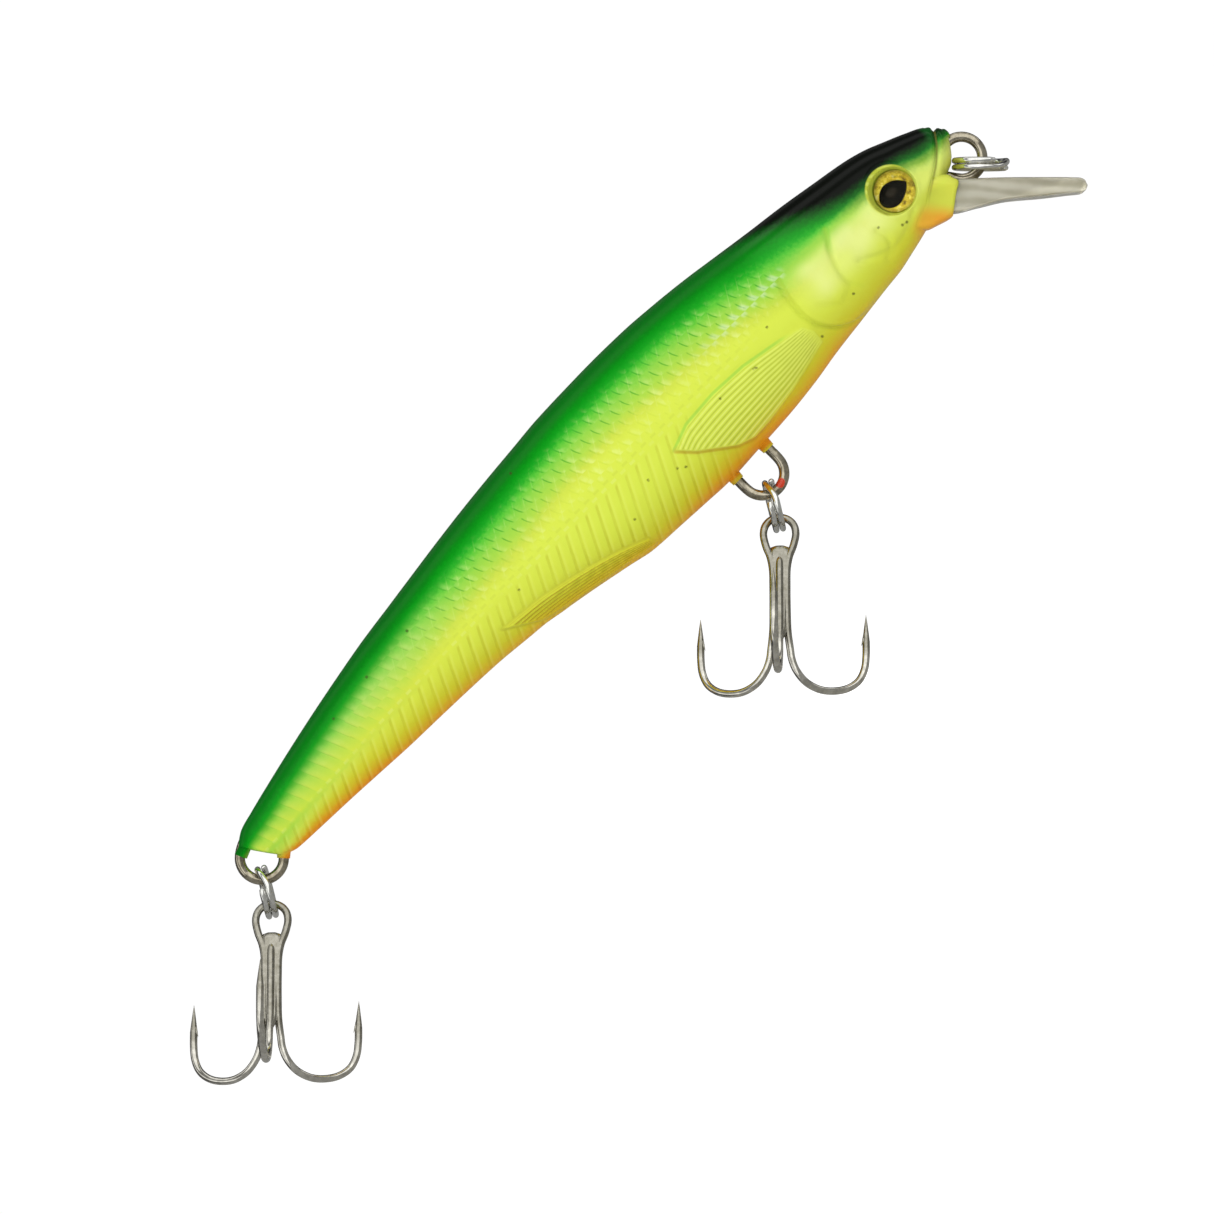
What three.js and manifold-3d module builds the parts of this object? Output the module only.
// Lipped minnow lure: two moulded half shells, clear diving lip, through-wire
// hangers, split rings, treble hooks, and a rolling weight train inside.
// Millimetres, +Z up. +X is the nose, -Y the right-hand side of the fish.
// The body is drawn from the middle of the tail face, then the whole lure is
// moved so that the origin is the mount point on the top face of the lip.
import * as THREE from 'three';
import { mergeVertices } from 'three/addons/utils/BufferGeometryUtils.js';
import Module from 'manifold-3d';

// ---------------------------------------------------------------- dimensions
// Ranges are [from, to]; a _Z is a height, and every _X range runs tail to nose.
const SEAM = 0.02;          // each half stands this far off the middle plane
const WALL = 1.3;           // shell wall
const THINNEST = 0.15;      // least half width, and least height scale, of the inner loft
const SECTION_POWER = 0.9;  // below 1 makes the body sections fuller than an ellipse

const WIRE_D = 1.15;        // hanger and line-tie wire
const GROOVE_CLEAR = 0.13;  // moulded groove around a wire
const WIRE_SIDES = 6;       // facets round every bent wire
const LOOP_R = 2.42;        // bend radius of the hanger loops, wire centre
const TIE_R = 2.31;         // bend radius of the line-tie loop, wire centre

const RING_WIRE = 0.70;     // split-ring wire
const RING_R = 2.65;        // hook rings, centre of the wire
const NOSE_RING_R = 2.85;   // line-tie ring, centre of the wire
const RING_PITCH = 0.74;    // one turn to the next
const RING_RUN = 650;       // whole length of the ring wire, degrees
const RING_STEP = [290, 360];  // where the wire steps across, degrees
const RING_HANG = 1.17;     // hanger wire centre to ring wire centre

const HOOK_WIRE = 0.84;     // treble wire
const HOOK_EYE_R = 1.78;    // bend radius of the hook's eye, wire centre
const HOOK_HANG = 1.20;     // ring wire centre to the eye's top wire centre
const HANG_TILT = 20;       // hooks lean out to the right-hand side, degrees
const HANG_REST = 13.95;    // split ring off the hook's line, degrees
const SPIKE_END_R = 0.03;   // blunted end of the hook points and spurs

const BALL_R = 2.75;        // transfer balls
const BALL_STEP = 5.6;      // ball to ball
const BALL_GAP = 0.12;      // ball to the end of its channel
const CHANNEL_R = 3.0;      // ball channel, before clearance
const CHANNEL_CLEAR = 0.1;
const CHANNEL_TUBE = 0.75;  // tube kept round the channel, beyond CHANNEL_R
const CHANNEL_END = 0.8;    // the same beyond each end
const CHANNEL_Z = 3.5;
const CHANNEL_X = [25.8, 79.9];

const RATTLE_R = 1.6;
const RATTLE_BORE = 1.85;
const RATTLE_GAP = 0.15;    // rattle ball to the end of its bore
const RATTLE_X = [83.0, 93.0];
const RATTLE_Z = 4.0;

const BALLAST_R = 1.65;
const BALLAST_CHAMFER = 0.4;
const BALLAST_CLEAR = 0.12;
const BALLAST_X = [75.6, 86.0];
const BALLAST_Z = -2.9;

const EYE = { x: 100.3, z: 2.0 };
const EYE_R = 2.3;          // foil and dome
const EYE_SEAT = 3.25;      // floor of the eye socket, from the middle plane
const FOIL_BACK = EYE_SEAT + 0.05;
const FOIL_FACE = FOIL_BACK + 0.3;
const DOME_BACK = FOIL_FACE + 0.1;
const DOME_RIM = 0.55;      // straight edge of the dome
const DOME_RISE = 1.75;     // whole height of the dome

const LIP_ROOT = [106.557, -2.024];   // x, z: top of the lip where it leaves the collar
const LIP_MOUNT = 9.5;      // mount point, along the lip from its root
const LIP_KINK = 6.2;       // the ring's bed ends and the flat face starts here
const LIP_LENGTH = 14.05;

// Sections of the body, tail to nose: top x, top z, bottom x, bottom z, half width.
const STATIONS = [
  [-1.54, 2.20, 1.54, -2.20, 1.50],
  [-0.88, 2.86, 2.42, -2.53, 1.65],
  [1.10, 3.52, 4.18, -2.69, 1.85],
  [4.40, 4.36, 7.04, -2.82, 2.25],
  [8.80, 5.45, 10.56, -2.97, 2.65],
  [13.20, 6.38, 14.30, -3.11, 3.05],
  [17.60, 7.32, 18.26, -3.33, 3.40],
  [22.00, 8.16, 22.22, -3.46, 3.90],
  [26.40, 8.79, 26.40, -3.56, 4.45],
  [30.80, 9.42, 30.80, -3.74, 4.95],
  [35.20, 10.03, 35.20, -4.07, 5.40],
  [39.60, 10.58, 39.60, -4.46, 5.80],
  [44.00, 11.12, 44.00, -5.21, 6.15],
  [48.40, 11.59, 48.40, -6.00, 6.40],
  [52.80, 11.98, 52.80, -6.84, 6.65],
  [57.20, 12.21, 57.20, -7.32, 6.85],
  [61.60, 12.36, 61.60, -7.55, 6.95],
  [66.00, 12.36, 66.00, -7.65, 7.00],
  [70.40, 12.13, 70.40, -7.42, 6.95],
  [74.80, 11.75, 74.80, -7.16, 6.85],
  [79.20, 11.20, 79.20, -6.69, 6.70],
  [83.60, 10.58, 83.60, -5.98, 6.50],
  [88.00, 9.90, 88.00, -5.45, 6.20],
  [92.40, 9.29, 92.40, -4.90, 5.95],
  [96.80, 8.58, 96.58, -4.22, 5.60],
  [99.55, 8.03, 99.55, -3.52, 5.25],
  [101.75, 7.42, 101.75, -2.64, 4.90],
  [103.95, 6.49, 103.73, -1.65, 4.35],
  [105.82, 5.61, 105.60, -0.82, 3.70],
  [107.36, 4.79, 107.14, -0.11, 2.90],
  [108.24, 4.01, 108.13, 0.99, 2.10],
  [108.90, 3.19, 108.84, 1.98, 1.20],
];

// ------------------------------------------------------------------- helpers
const manifold = await Module();
manifold.setup();

const rad = THREE.MathUtils.degToRad;
const vec = (x, y, z) => new THREE.Vector3(x, y, z);
const midPoint = (x, z) => vec(x, 0, z);     // a point on the middle plane

const DIAGONAL = Math.SQRT1_2;
const LEFTWARD = vec(0, 1, 0);
const FORE_DOWN = vec(DIAGONAL, 0, -DIAGONAL);
const FORE_UP = vec(DIAGONAL, 0, DIAGONAL);
const AFT_DOWN = vec(-DIAGONAL, 0, -DIAGONAL);

// A closed geometry becomes a solid, its faces turned outwards if need be.
function solid(geometry) {
  const bare = geometry.clone();
  bare.deleteAttribute('normal');
  bare.deleteAttribute('uv');
  const merged = mergeVertices(bare, 1e-4);
  const index = merged.index.array;
  const triangles = [];
  for (let i = 0; i < index.length; i += 3) {
    const [first, second, third] = index.slice(i, i + 3);
    if (first !== second && second !== third && first !== third) {
      triangles.push(first, second, third);
    }
  }
  const build = () => new manifold.Manifold(new manifold.Mesh({
    numProp: 3,
    vertProperties: Float32Array.from(merged.attributes.position.array),
    triVerts: Uint32Array.from(triangles),
  }));
  const built = build();
  if (built.volume() >= 0) return built;
  for (let i = 0; i < triangles.length; i += 3) {
    [triangles[i], triangles[i + 1]] = [triangles[i + 1], triangles[i]];
  }
  return build();
}

function geometryOf(shape) {
  const mesh = shape.getMesh();
  const positions = Float32Array.from(mesh.vertProperties);
  const geometry = new THREE.BufferGeometry();
  geometry.setAttribute('position', new THREE.BufferAttribute(positions, 3));
  geometry.setIndex(new THREE.BufferAttribute(Uint32Array.from(mesh.triVerts), 1));
  geometry.computeVertexNormals();
  return geometry;
}

const union = (solids) => solids.reduce((sum, next) => sum.add(next));

const shapeOf = (points) => new THREE.Shape(points.map(([x, y]) => new THREE.Vector2(x, y)));

const smoothCurve = (points) => new THREE.CatmullRomCurve3(points, false, 'centripetal');

// Round wire along a curve.
function wire(curve, radius, steps) {
  const corners = [];
  for (let i = 0; i < WIRE_SIDES; i += 1) {
    const angle = Math.PI / WIRE_SIDES + (2 * Math.PI * i) / WIRE_SIDES;
    corners.push([radius * Math.cos(angle), radius * Math.sin(angle)]);
  }
  const section = shapeOf(corners);
  section.closePath();
  return solid(new THREE.ExtrudeGeometry(section, {
    steps, bevelEnabled: false, extrudePath: curve,
  }));
}

// Flat outline in x and z, thickened equally to both sides of the middle plane.
function slab(points, halfWidth) {
  const geometry = new THREE.ExtrudeGeometry(shapeOf(points), {
    depth: 2 * halfWidth, bevelEnabled: false,
  });
  geometry.rotateX(Math.PI / 2);
  geometry.translate(0, halfWidth, 0);
  return solid(geometry);
}

function rod(radius, from, to, sides, endRadius = radius) {
  const geometry = new THREE.CylinderGeometry(endRadius, radius, from.distanceTo(to), sides);
  const direction = to.clone().sub(from).normalize();
  geometry.applyQuaternion(new THREE.Quaternion().setFromUnitVectors(vec(0, 1, 0), direction));
  geometry.translate(...from.clone().add(to).multiplyScalar(0.5).toArray());
  return solid(geometry);
}

// Rod along the fish on the middle plane, longer than its range by extra at each end.
const rodAlong = (radius, [start, end], z, sides, extra = 0) => rod(
  radius, midPoint(start - extra, z), midPoint(end + extra, z), sides,
);

function box([x0, x1], [y0, y1], [z0, z1]) {
  const geometry = new THREE.BoxGeometry(x1 - x0, y1 - y0, z1 - z0);
  geometry.translate((x0 + x1) / 2, (y0 + y1) / 2, (z0 + z1) / 2);
  return solid(geometry);
}

// ----------------------------------------------------------------- body loft
// One coordinate of a unit circle, pushed outwards; rounding noise becomes zero.
function fuller(value) {
  if (Math.abs(value) < 1e-6) return 0;
  return Math.sign(value) * Math.abs(value) ** SECTION_POWER;
}

// A closed cylinder whose rings are drawn over the body sections; inset thins it.
function bodyLoft(inset, sides) {
  const spans = STATIONS.length - 1;
  const geometry = new THREE.CylinderGeometry(1, 1, 1, sides, spans);
  const position = geometry.attributes.position;
  for (let i = 0; i < position.count; i += 1) {
    const station = STATIONS[Math.round((position.getY(i) + 0.5) * spans)];
    const [topX, topZ, bottomX, bottomZ, halfWidth] = station;
    const halfHeight = Math.hypot(topX - bottomX, topZ - bottomZ) / 2;
    const shrink = Math.max(THINNEST, 1 - inset / halfHeight);
    const rise = 0.5 + 0.5 * fuller(position.getZ(i)) * shrink;
    position.setXYZ(
      i,
      bottomX + (topX - bottomX) * rise,
      fuller(position.getX(i)) * Math.max(THINNEST, halfWidth - inset),
      bottomZ + (topZ - bottomZ) * rise,
    );
  }
  return solid(geometry);
}

// --------------------------------------------------------------------- wires
// A hanger loop has a centre and an up direction, from the loop towards the body.
const BELLY_LOOP = { centre: midPoint(68.2, -9.62), up: vec(0, 0, 1) };
const TAIL_LOOP = { centre: midPoint(-0.62, -0.6), up: FORE_UP };

// The loop's direction towards its second leg.
const loopAcross = ({ up }) => vec(up.z, 0, -up.x);

// Legs of the hanger wires, x and z: the first runs to the loop, the second from it.
const BELLY_LEGS = [
  [[62.6, -2.75], [64.7, -2.85], [65.65, -3.9], [65.78, -6.0], [65.78, -8.2]],
  [[70.62, -8.2], [70.62, -6.0], [70.75, -3.9], [71.7, -2.85], [73.8, -2.75]],
];
const TAIL_LEGS = [
  [[9.4, 2.9], [6.4, 2.85], [3.2, 2.75], [0.6, 2.45], [-1.25, 1.85]],
  [[2.15, -1.25], [3.2, -0.35], [4.6, 0.35], [6.8, 0.6], [9.2, 0.6]],
];

// The line tie's upper and lower legs, and the arc between them in degrees.
const TIE_CENTRE = midPoint(108.24, -0.55);
const TIE_UPPER_LEG = [[97.6, 3.9], [100.4, 3.7], [103.6, 2.9], [106.4, 2.05]];
const TIE_LOWER_LEG = [[105.3, -0.55], [103.6, 0.25], [101.0, 0.55], [98.2, 0.6]];
const TIE_ARC = { start: 88, sweep: 238, steps: 12 };

const legPoints = (leg) => leg.map(([x, z]) => midPoint(x, z));

// An open loop of wire whose legs run into the body.
function hangerCurve(loop, [firstLeg, secondLeg]) {
  const arcSteps = 10;
  const arc = [];
  for (let i = 0; i <= arcSteps; i += 1) {
    const angle = Math.PI + (Math.PI * i) / arcSteps;
    arc.push(loop.centre.clone()
      .addScaledVector(loopAcross(loop), LOOP_R * Math.cos(angle))
      .addScaledVector(loop.up, LOOP_R * Math.sin(angle)));
  }
  return smoothCurve([...legPoints(firstLeg), ...arc, ...legPoints(secondLeg)]);
}

function lineTieCurve() {
  const arc = [];
  for (let i = 0; i <= TIE_ARC.steps; i += 1) {
    const angle = rad(TIE_ARC.start - (TIE_ARC.sweep * i) / TIE_ARC.steps);
    arc.push(midPoint(
      TIE_CENTRE.x + TIE_R * Math.cos(angle),
      TIE_CENTRE.z + TIE_R * Math.sin(angle),
    ));
  }
  return smoothCurve([...legPoints(TIE_UPPER_LEG), ...arc, ...legPoints(TIE_LOWER_LEG)]);
}

// A fitted wire and the groove moulded for it.
const fitted = (curve, steps) => ({
  wire: wire(curve, WIRE_D / 2, steps),
  groove: wire(curve, WIRE_D / 2 + GROOVE_CLEAR, steps),
});
const lineTie = fitted(lineTieCurve(), 36);
const bellyHanger = fitted(hangerCurve(BELLY_LOOP, BELLY_LEGS), 32);
const tailHanger = fitted(hangerCurve(TAIL_LOOP, TAIL_LEGS), 36);

// ----------------------------------------------------------------------- lip
// Side view of the lip: distance down the lip from its root, height above its top face.
const LIP_PROFILE = [
  [-4.2, -0.22], [LIP_KINK, 0], [13.25, 0], [13.8, -0.3], [LIP_LENGTH, -0.85],
  [13.85, -1.4], [13.2, -1.8], [12.1, -1.84], [5.13, -2.59], [-0.86, -4.0],
  [-3.1, -4.1], [-4.2, -2.6],
];
// Plan of the lip: distance down the lip, half width.
const LIP_PLAN = [
  [-4.6, 2.7], [-1.2, 2.95], [0.6, 3.1], [2.6, 3.9], [5.2, 4.65], [8.4, 5.0],
  [10.6, 4.95], [12.2, 4.3], [13.3, 3.1], [13.9, 1.6], [LIP_LENGTH + 0.1, 0.8],
];
// Side view of the socket for the lip's root, columns as in LIP_PROFILE.
const SOCKET_PROFILE = [
  [-4.4, 0.12], [1.2, 0.3], [1.2, -5.2], [-0.9, -4.1], [-3.2, -4.2], [-4.4, -2.7],
];
const SOCKET_HALF_WIDTH = 3.12;
const LIP_BLANK = { halfWidth: 6, below: 6, depth: 8 };   // stock larger than the lip

// x and z of a point on the lip.
const lipPoint = ([along, above]) => [
  LIP_ROOT[0] + DIAGONAL * (along + above),
  LIP_ROOT[1] + DIAGONAL * (above - along),
];
const ORIGIN = midPoint(...lipPoint([LIP_MOUNT, 0]));

// The side view and the plan, each made thick, meet in the lip.
function divingLip() {
  const sideView = slab(LIP_PROFILE.map(lipPoint), LIP_BLANK.halfWidth);
  const otherEdge = LIP_PLAN.map(([along, halfWidth]) => [along, -halfWidth]).reverse();
  const plan = new THREE.ExtrudeGeometry(shapeOf([...LIP_PLAN, ...otherEdge]), {
    depth: LIP_BLANK.depth, bevelEnabled: false,
  });
  plan.translate(0, 0, -LIP_BLANK.below);
  plan.applyMatrix4(new THREE.Matrix4().makeBasis(FORE_DOWN, LEFTWARD, FORE_UP));
  plan.translate(LIP_ROOT[0], 0, LIP_ROOT[1]);
  return sideView.intersect(solid(plan)).subtract(lineTie.groove);
}

// -------------------------------------------------------------------- shells
// Collar under the chin that holds the lip: x, z.
const COLLAR = [
  [98.2, -1.5], [99.88, -3.46], [102.5, -4.38], [102.98, -4.42],
  [106.2, -2.1], [105.75, -0.8], [104.4, 0.2], [101.0, 0.8],
];
const COLLAR_HALF_WIDTH = 3.62;

// Bosses round the hanger legs, inner end to outer end: x, z, x, z.
const BOSSES = [
  [65.78, -5.6, 65.78, -8.35],
  [70.62, -5.6, 70.62, -8.2],
  [0.9, 2.55, -2.15, 1.15],
  [3.2, -0.35, 1.05, -2.3],
];
const BOSS_R = 0.86;
const BOSS_END_R = 0.8;

// Hollow chambers between bulkheads: x range, z range. -12, 16 and CHAMBER_Y pass the skin.
const CHAMBERS = [
  [[13.5, 24.6], [-12, 16]],
  [[26.4, 43.4], [-12, 16]],
  [[44.8, 60.4], [-12, 16]],
  [[60.3, 75.4], [3.4, 16]],
  [[88.2, 94.2], [-12, 1.2]],
  [[76.6, 94.2], [7.4, 16]],
];
const CHAMBER_Y = [-8, 8];

// Weld posts on the left half and their sockets in the right: x, z.
const POSTS = [[11.4, -1.2], [25.4, -1.4], [44.1, -2.4], [82.0, 7.6], [95.9, 6.0], [95.7, -1.6]];
const POST = { radius: 0.5, rootY: 0.4, endY: -0.7 };
const POST_SOCKET = { radius: 0.66, rootY: 0.5, endY: -0.95 };

const EYE_MOUTH_R = EYE_R + 0.55;    // eye sockets flare from floor to mouth
const EYE_MOUTH_Y = 6.2;

function hollows() {
  const rooms = union(CHAMBERS.map(([rangeX, rangeZ]) => box(rangeX, CHAMBER_Y, rangeZ)));
  return bodyLoft(WALL, 12).intersect(rooms)
    .subtract(rodAlong(CHANNEL_R + CHANNEL_TUBE, CHANNEL_X, CHANNEL_Z, 12, CHANNEL_END));
}

const eyeRod = (side, radius, fromY, toY, sides, endRadius) => rod(
  radius, vec(EYE.x, side * fromY, EYE.z), vec(EYE.x, side * toY, EYE.z), sides, endRadius,
);

const eyeSocket = (side) => eyeRod(side, EYE_R + 0.12, EYE_SEAT, EYE_MOUTH_Y, 20, EYE_MOUTH_R);

// Everything taken out of the body.
const cavities = () => union([
  hollows(),
  rodAlong(CHANNEL_R + CHANNEL_CLEAR, CHANNEL_X, CHANNEL_Z, 12),
  rodAlong(RATTLE_BORE, RATTLE_X, RATTLE_Z, 10),
  rodAlong(BALLAST_R + BALLAST_CLEAR, BALLAST_X, BALLAST_Z, 10, BALLAST_CLEAR),
  lineTie.groove,
  bellyHanger.groove,
  tailHanger.groove,
  slab(SOCKET_PROFILE.map(lipPoint), SOCKET_HALF_WIDTH),
  eyeSocket(-1),
  eyeSocket(1),
]);

const postRods = ({ radius, rootY, endY }) => union(
  POSTS.map(([x, z]) => rod(radius, vec(x, rootY, z), vec(x, endY, z), 10)),
);

// Drops loose scraps, keeping the one main body.
const largestPart = (shape) => shape.decompose()
  .reduce((best, part) => (best.volume() > part.volume() ? best : part));

function shells() {
  const bosses = BOSSES.map(([x0, z0, x1, z1]) => rod(
    BOSS_R, midPoint(x0, z0), midPoint(x1, z1), 10, BOSS_END_R,
  ));
  const whole = union([bodyLoft(0, 18), slab(COLLAR, COLLAR_HALF_WIDTH), ...bosses])
    .subtract(cavities());
  const half = (rangeY) => whole.intersect(box([-20, 130], rangeY, [-30, 30]));
  return {
    right: largestPart(half([-20, -SEAM]).subtract(postRods(POST_SOCKET))),
    left: largestPart(half([SEAM, 20]).add(postRods(POST))),
  };
}

// ---------------------------------------------------------------------- eyes
// side is -1 for the right-hand eye, 1 for the left.
const eyeFoil = (side) => eyeRod(side, EYE_R, FOIL_BACK, FOIL_FACE, 18);

function eyeDome(side) {
  const steps = 5;
  const profile = [[0, 0], [EYE_R, 0], [EYE_R, DOME_RIM]];
  for (let i = 1; i <= steps; i += 1) {
    const angle = (Math.PI / 2) * (i / steps);
    profile.push([
      i === steps ? 0 : EYE_R * Math.cos(angle),
      DOME_RIM + (DOME_RISE - DOME_RIM) * Math.sin(angle),
    ]);
  }
  const geometry = new THREE.LatheGeometry(profile.map(([x, y]) => new THREE.Vector2(x, y)), 18);
  if (side < 0) geometry.rotateX(Math.PI);
  geometry.translate(EYE.x, side * DOME_BACK, EYE.z);
  return solid(geometry);
}

// --------------------------------------------------------------- split rings
// Two flat turns with one step between them. Angles start at out and turn to across;
// axis is the ring's normal.
class SplitRingCurve extends THREE.Curve {
  constructor(ring) {
    super();
    this.ring = ring;
  }

  getPoint(t) {
    const { radius, centre, out, across, axis, startAngle } = this.ring;
    const run = RING_RUN * t;
    const stepped = THREE.MathUtils.smoothstep(run, ...RING_STEP);
    const angle = rad(startAngle + run);
    return centre.clone()
      .addScaledVector(out, radius * Math.cos(angle))
      .addScaledVector(across, radius * Math.sin(angle))
      .addScaledVector(axis, (RING_PITCH / 2) * (1 - 2 * stepped));
  }
}

const splitRing = (ring) => wire(new SplitRingCurve(ring), RING_WIRE / 2, 40);

// The line-tie ring lies over the root of the lip, round the lower leg of the loop.
const noseRing = () => splitRing({
  radius: NOSE_RING_R,
  centre: midPoint(109.25, -2.55),
  out: FORE_DOWN,
  across: vec(0, -1, 0),
  axis: FORE_UP,
  startAngle: 60,
});

// -------------------------------------------------------------- treble hooks
// Hook axes: down runs along the shank from the top of the eye, side is across the
// eye, front points out of the eye's face towards the single hook.
// Prong bend: distance out from the shank axis, distance down.
const BEND = [
  [1.22, 15.6], [1.40, 16.7], [1.95, 17.95], [3.14, 19.15], [4.84, 19.75], [6.6, 19.65],
  [8.3, 19.05], [9.62, 17.95], [10.3, 16.5], [10.5, 15.0], [10.52, 13.2],
];
const POINT = [10.53, 10.2];
const POINT_OVERLAP = 0.25;          // the point's cone starts this far inside the wire
// Small spur inside each point, running back towards the bend: columns as in BEND.
const SPUR_START = [POINT[0] - 0.12, POINT[1] + 2.1];
const SPUR_END = [POINT[0] - 0.62, POINT[1] + 3.75];
const SPUR_R = 0.22;

// One shank of the double hook, eye to bend: front, side, down.
const DOUBLE_SHANK = [
  [0, 1.78, 2.3], [0, 1.52, 3.7], [0, 1.05, 5.0], [0, 0.8, 6.4],
  [0, 0.75, 8.6], [-0.08, 0.76, 11.2], [-0.3, 0.82, 13.6],
];
// Shank of the single hook: front, down.
const SINGLE_SHANK = [[0.52, 5.3], [0.52, 8.4], [0.54, 11.4], [0.74, 13.8]];
const BRAZE = { side: 1.4, front: 0.32, down: 9.0, centreFront: -0.14, centreDown: 9.4 };

// Turns hook coordinates into a point of the lure.
const hookPoint = (frame, front, side, down) => frame.origin.clone()
  .addScaledVector(frame.front, front)
  .addScaledVector(frame.side, side)
  .addScaledVector(frame.down, down);

// Places a [distance out, distance down] pair on the prong at an angle from front.
const prongAt = (frame, degrees) => ([out, down]) => hookPoint(
  frame, out * Math.cos(rad(degrees)), out * Math.sin(rad(degrees)), down,
);

function prongTip(onProng) {
  const bendEnd = onProng(BEND.at(-1));
  const tip = onProng(POINT);
  const start = bendEnd.clone()
    .addScaledVector(tip.clone().sub(bendEnd).normalize(), -POINT_OVERLAP);
  return rod(HOOK_WIRE / 2, start, tip, 6, SPIKE_END_R)
    .add(rod(SPUR_R, onProng(SPUR_START), onProng(SPUR_END), 4, SPIKE_END_R));
}

// Brazing that fills the gap between the two shanks.
function brazing(frame) {
  const geometry = new THREE.BoxGeometry(BRAZE.side, BRAZE.front, BRAZE.down);
  geometry.applyMatrix4(new THREE.Matrix4().makeBasis(frame.side, frame.front, frame.down));
  const centre = hookPoint(frame, BRAZE.centreFront, 0, BRAZE.centreDown);
  geometry.translate(...centre.toArray());
  return solid(geometry);
}

// One wire forms two prongs, their shanks and the eye between them.
function trebleDouble(frame) {
  const prongs = { [-1]: prongAt(frame, -120), 1: prongAt(frame, 120) };
  const halfWire = (sign) => [
    ...DOUBLE_SHANK.map(([front, side, down]) => hookPoint(frame, front, sign * side, down)),
    ...BEND.map(prongs[sign]),
  ];
  const eyeSteps = 6;
  const eyeDown = HOOK_EYE_R + HOOK_WIRE / 2;
  const eye = [];
  for (let i = 1; i < eyeSteps; i += 1) {
    const angle = Math.PI + (Math.PI * i) / eyeSteps;
    const side = HOOK_EYE_R * Math.cos(angle);
    eye.push(hookPoint(frame, 0, side, eyeDown + HOOK_EYE_R * Math.sin(angle)));
  }
  const curve = smoothCurve([...halfWire(-1).reverse(), ...eye, ...halfWire(1)]);
  return union([
    wire(curve, HOOK_WIRE / 2, 64),
    prongTip(prongs[-1]),
    prongTip(prongs[1]),
    brazing(frame),
  ]);
}

function trebleSingle(frame) {
  const onProng = prongAt(frame, 0);
  const curve = smoothCurve([...SINGLE_SHANK, ...BEND].map(onProng));
  return wire(curve, HOOK_WIRE / 2, 32).add(prongTip(onProng));
}

// ------------------------------------------------------------- hanging chains
// Point on a loop's wire centre, measured from straight away from the body.
const contactOn = (loop, degrees) => loop.centre.clone()
  .addScaledVector(loop.up, -LOOP_R * Math.cos(rad(degrees)))
  .addScaledVector(loopAcross(loop), LOOP_R * Math.sin(rad(degrees)));

// Leans a direction in the middle plane out to the right-hand side.
const leanOut = (direction) => direction.clone()
  .multiplyScalar(Math.cos(rad(HANG_TILT)))
  .addScaledVector(LEFTWARD, -Math.sin(rad(HANG_TILT)));

// A ring and its treble hang from a wire loop as one chain.
function hangSet(contact) {
  const ringLine = FORE_DOWN.clone().multiplyScalar(Math.sin(rad(HANG_REST)))
    .addScaledVector(AFT_DOWN, Math.cos(rad(HANG_REST)));
  const axis = ringLine.clone().cross(LEFTWARD).normalize();     // towards the nose
  const out = leanOut(ringLine);
  const across = out.clone().cross(axis).normalize();            // towards the right-hand side
  const centre = contact.clone().addScaledVector(out, RING_R - RING_HANG);
  const pivot = centre.clone().addScaledVector(out, RING_R);

  // the shank leans out with the ring and hangs back and down
  const down = leanOut(AFT_DOWN);
  const front = across.clone().addScaledVector(down, -across.dot(down)).normalize();
  const side = front.clone().cross(down).normalize();
  const origin = pivot.clone().addScaledVector(down, -HOOK_HANG - HOOK_WIRE / 2);
  const frame = { origin, front, side, down };
  return {
    contact,
    axis,
    across,
    pivot,
    ring: splitRing({ radius: RING_R, centre, out, across, axis, startAngle: 150 }),
    double: trebleDouble(frame),
    single: trebleSingle(frame),
  };
}

const bellySet = hangSet(contactOn(BELLY_LOOP, -22));
const tailSet = hangSet(contactOn(TAIL_LOOP, 5));

// --------------------------------------------------------------- inner parts
const frontBallX = CHANNEL_X[1] - BALL_R - BALL_GAP;
const rearBallX = frontBallX - 2 * BALL_STEP;
const rattleX = RATTLE_X[1] - RATTLE_R - RATTLE_GAP;

function ball(radius, x, z) {
  const geometry = new THREE.SphereGeometry(radius, 12, 8);
  geometry.translate(x, 0, z);
  return solid(geometry);
}

const transferBall = (x) => ball(BALL_R, x, CHANNEL_Z);

// Chamfered cylinder lying along the fish.
function chestBallast() {
  const length = BALLAST_X[1] - BALLAST_X[0];
  const endR = BALLAST_R - BALLAST_CHAMFER;
  const profile = [
    [0, 0], [endR, 0], [BALLAST_R, BALLAST_CHAMFER],
    [BALLAST_R, length - BALLAST_CHAMFER], [endR, length], [0, length],
  ];
  const geometry = new THREE.LatheGeometry(profile.map(([x, y]) => new THREE.Vector2(x, y)), 14);
  geometry.rotateZ(-Math.PI / 2);
  geometry.translate(BALLAST_X[0], 0, BALLAST_Z);
  return solid(geometry);
}

// --------------------------------------------------------------------- scene
const FINISHES = {
  paint: { color: 0xb6c93a, roughness: 0.22, metalness: 0.0 },
  paintLeft: { color: 0xa9bf38, roughness: 0.22, metalness: 0.0 },
  clear: { color: 0xd9dccd, roughness: 0.08, metalness: 0.0, transparent: true, opacity: 0.55 },
  dome: { color: 0xe8ecec, roughness: 0.05, metalness: 0.0, transparent: true, opacity: 0.4 },
  foil: { color: 0xb9962c, roughness: 0.3, metalness: 0.8 },
  hanger: { color: 0x77705e, roughness: 0.32, metalness: 1.0 },
  ring: { color: 0xc9c9c2, roughness: 0.2, metalness: 1.0 },
  hook: { color: 0x8f8c82, roughness: 0.25, metalness: 1.0 },
  tungsten: { color: 0x6a6a6c, roughness: 0.35, metalness: 1.0 },
  lead: { color: 0x7c7f86, roughness: 0.6, metalness: 0.9 },
  steel: { color: 0xb9bbbd, roughness: 0.2, metalness: 1.0 },
};

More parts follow.
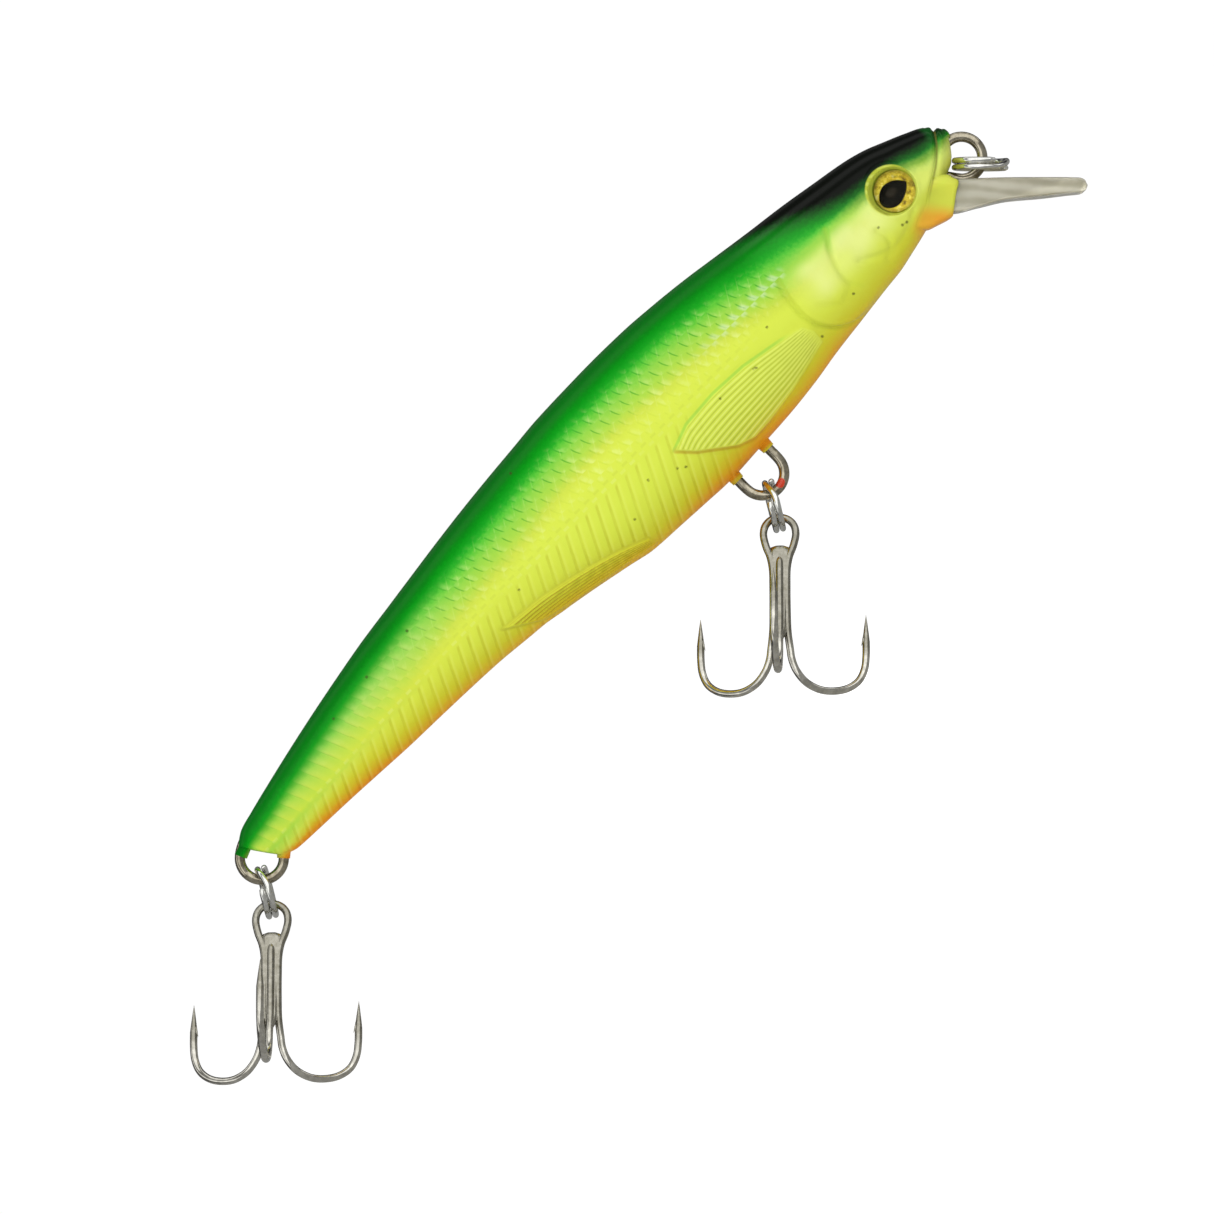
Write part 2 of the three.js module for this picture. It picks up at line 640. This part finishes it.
const lure = new THREE.Group();
lure.position.copy(ORIGIN).negate();

function add(name, shape, finish) {
  const material = new THREE.MeshStandardMaterial(FINISHES[finish]);
  const mesh = new THREE.Mesh(geometryOf(shape), material);
  mesh.name = name;
  lure.add(mesh);
}

const { right, left } = shells();
add('right_shell', right, 'paint');
add('left_shell', left, 'paintLeft');
add('diving_lip', divingLip(), 'clear');
add('right_eye_foil', eyeFoil(-1), 'foil');
add('left_eye_foil', eyeFoil(1), 'foil');
add('right_eye_dome', eyeDome(-1), 'dome');
add('left_eye_dome', eyeDome(1), 'dome');
add('line_tie_wire', lineTie.wire, 'hanger');
add('belly_hanger_wire', bellyHanger.wire, 'hanger');
add('tail_hanger_wire', tailHanger.wire, 'hanger');
add('nose_split_ring', noseRing(), 'ring');
add('belly_split_ring', bellySet.ring, 'ring');
add('tail_split_ring', tailSet.ring, 'ring');
add('belly_treble_double', bellySet.double, 'hook');
add('belly_treble_single', bellySet.single, 'hook');
add('tail_treble_double', tailSet.double, 'hook');
add('tail_treble_single', tailSet.single, 'hook');
add('chest_ballast', chestBallast(), 'lead');
add('transfer_ball_front', transferBall(frontBallX), 'tungsten');
add('transfer_ball_middle', transferBall(frontBallX - BALL_STEP), 'tungsten');
add('transfer_ball_rear', transferBall(rearBallX), 'tungsten');
add('rattle_ball', ball(RATTLE_R, rattleX, RATTLE_Z), 'steel');

// Joints and travels for whoever moves the parts. Points are from the mount point;
// m is the ring's normal and e2 its direction towards the right-hand side.
const fromMount = (point) => point.clone().sub(ORIGIN).toArray();
const jointOf = ({ contact, axis, pivot, across }) => ({
  contact: fromMount(contact),
  m: axis.toArray(),
  pivot: fromMount(pivot),
  e2: across.toArray(),
});

const scene = new THREE.Group();
scene.add(lure);
scene.userData = {
  origin: ORIGIN.toArray(),
  belly: jointOf(bellySet),
  tail: jointOf(tailSet),
  tie: fromMount(TIE_CENTRE),
  ballTravel: rearBallX - BALL_R - CHANNEL_X[0] - BALL_GAP,
  rattleTravel: rattleX - RATTLE_X[0] - RATTLE_R - RATTLE_GAP,
};
export default scene;
